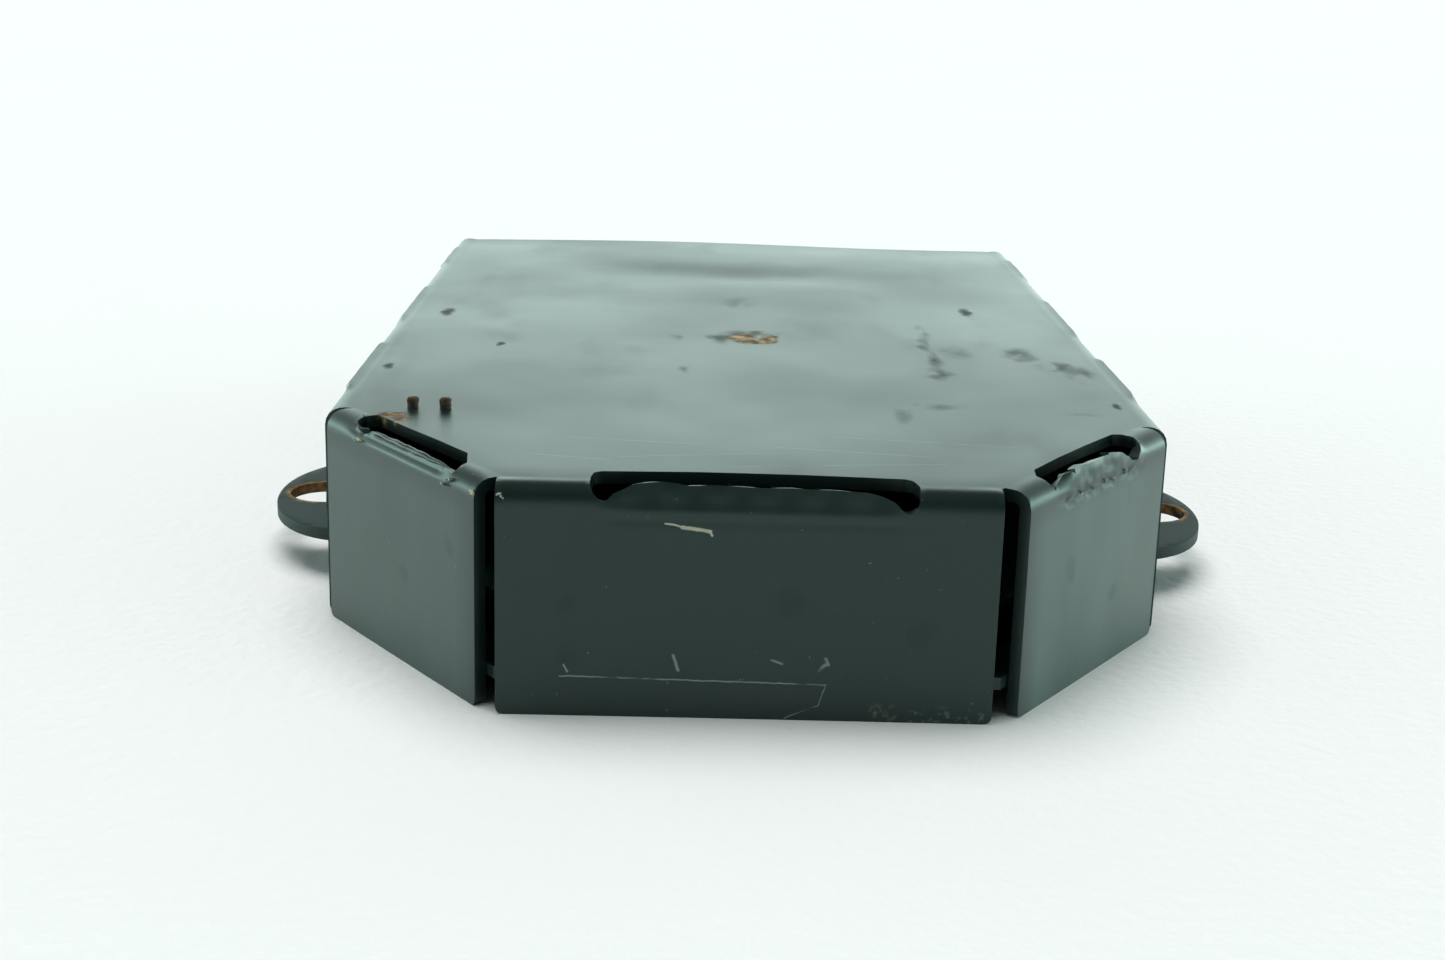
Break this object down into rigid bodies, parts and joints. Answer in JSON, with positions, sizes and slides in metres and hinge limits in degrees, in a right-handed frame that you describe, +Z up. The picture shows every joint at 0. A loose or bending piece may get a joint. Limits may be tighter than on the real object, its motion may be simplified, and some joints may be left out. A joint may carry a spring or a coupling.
{
  "type": "lidar scanner module",
  "caption": "Flat folded-steel lidar scanner module with chamfered slotted end, side mounting ears, dark scan window and a spinning mirror inside.",
  "frame": {"origin": "middle of the footprint's bounding box, on the surface that the case's flanges stand on", "axes": "+Z up, +Y along the case from the chamfered end to the scan window, +X to the right seen from the chamfered end"},
  "size_m": [0.18, 0.244, 0.0388],
  "materials": {
    "case_paint": "satin black powder coat on folded steel, scuffed and chipped",
    "zinc_steel": "zinc plated",
    "rusty_steel": "rusted",
    "brass_posts": "nickel-dulled brass",
    "black_plastic": "fine grained black moulding",
    "window_tint": "infrared-pass dark polycarbonate",
    "gasket_rubber": "matt",
    "gold_contact": "gold flashed",
    "cast_aluminium": "machined casting",
    "green_board": "solder mask",
    "core_steel": "ground",
    "copper_wire": "enamelled copper",
    "cage_plastic": "phenolic",
    "magnet": "sintered ferrite",
    "disc_metal": "etched sheet",
    "mirror_coat": "front-surface gold-protected mirror",
    "black_anodised": "black anodised",
    "lens_glass": "polished",
    "filter_glass": "band-pass coating",
    "can_metal": "nickel plated",
    "chip_epoxy": "moulded epoxy",
    "thermal_silicone": "soft silicone",
    "capacitor_sleeve": "printed-free sleeve",
    "connector_plastic": "nylon",
    "ribbon_film": "polyimide film"
  },
  "bodies": {
    "housing": {"cover": "case_paint", "base_plate": "case_paint", "mounting_strap": "case_paint", "strap_rivets": "zinc_steel", "case_screws": "zinc_steel", "case_nuts": "zinc_steel", "bezel_screws": "zinc_steel", "retainer_screws": "zinc_steel", "bench_screws": "zinc_steel", "motor_screws": "zinc_steel", "block_screws": "zinc_steel", "board_screws": "zinc_steel", "connector_shell": "zinc_steel", "connector_nut": "zinc_steel", "ground_studs": "rusty_steel", "standoffs": "brass_posts", "breather_vent": "black_plastic", "rear_bezel": "black_plastic", "connector_insert": "black_plastic", "encoder_sensor": "black_plastic", "window_retainer": "black_plastic", "window_pane": "window_tint", "window_gasket": "gasket_rubber", "connector_pins": "gold_contact", "optical_bench": "cast_aluminium", "motor_base": "cast_aluminium", "heat_spreader": "cast_aluminium", "main_board": "green_board", "motor_board": "green_board", "optics_board": "green_board", "stator_core": "core_steel", "bearing_outer_rings": "core_steel", "stator_coils": "copper_wire", "optics_block": "black_anodised", "lens_retainer": "black_anodised", "collimator_barrel": "black_anodised", "receiver_lens": "lens_glass", "collimator_lens": "lens_glass", "receiver_filter": "filter_glass", "photodiode": "can_metal", "laser_diode": "can_metal", "processor": "chip_epoxy", "memory_chips": "chip_epoxy", "inductors": "chip_epoxy", "thermal_pads": "thermal_silicone", "capacitors": "capacitor_sleeve", "board_connectors": "connector_plastic", "motor_ribbon": "ribbon_film", "optics_ribbon": "ribbon_film"},
    "rotor": {"rotor_shaft": "core_steel", "rotor_bell": "core_steel", "magnet_ring": "magnet", "encoder_disc": "disc_metal", "mirror_carrier": "cast_aluminium", "mirror_facets": "mirror_coat", "mirror_screw": "zinc_steel", "bearing_inner_rings": "core_steel"},
    "ball_cages": {"bearing_balls": "core_steel", "bearing_cages": "cage_plastic"}
  },
  "joints": [
    {"name": "mirror_spin", "type": "hinge", "parent": "housing", "child": "rotor", "pos_m": [0.01, 0.08, 0], "axis": [0, 0, 1], "continuous": true},
    {"name": "cage_spin", "type": "hinge", "parent": "housing", "child": "ball_cages", "pos_m": [0.01, 0.08, 0], "axis": [0, 0, 1], "continuous": true}
  ],
  "couplings": [
    {"joint": "cage_spin", "follows": "mirror_spin", "ratio": 0.3769}
  ]
}
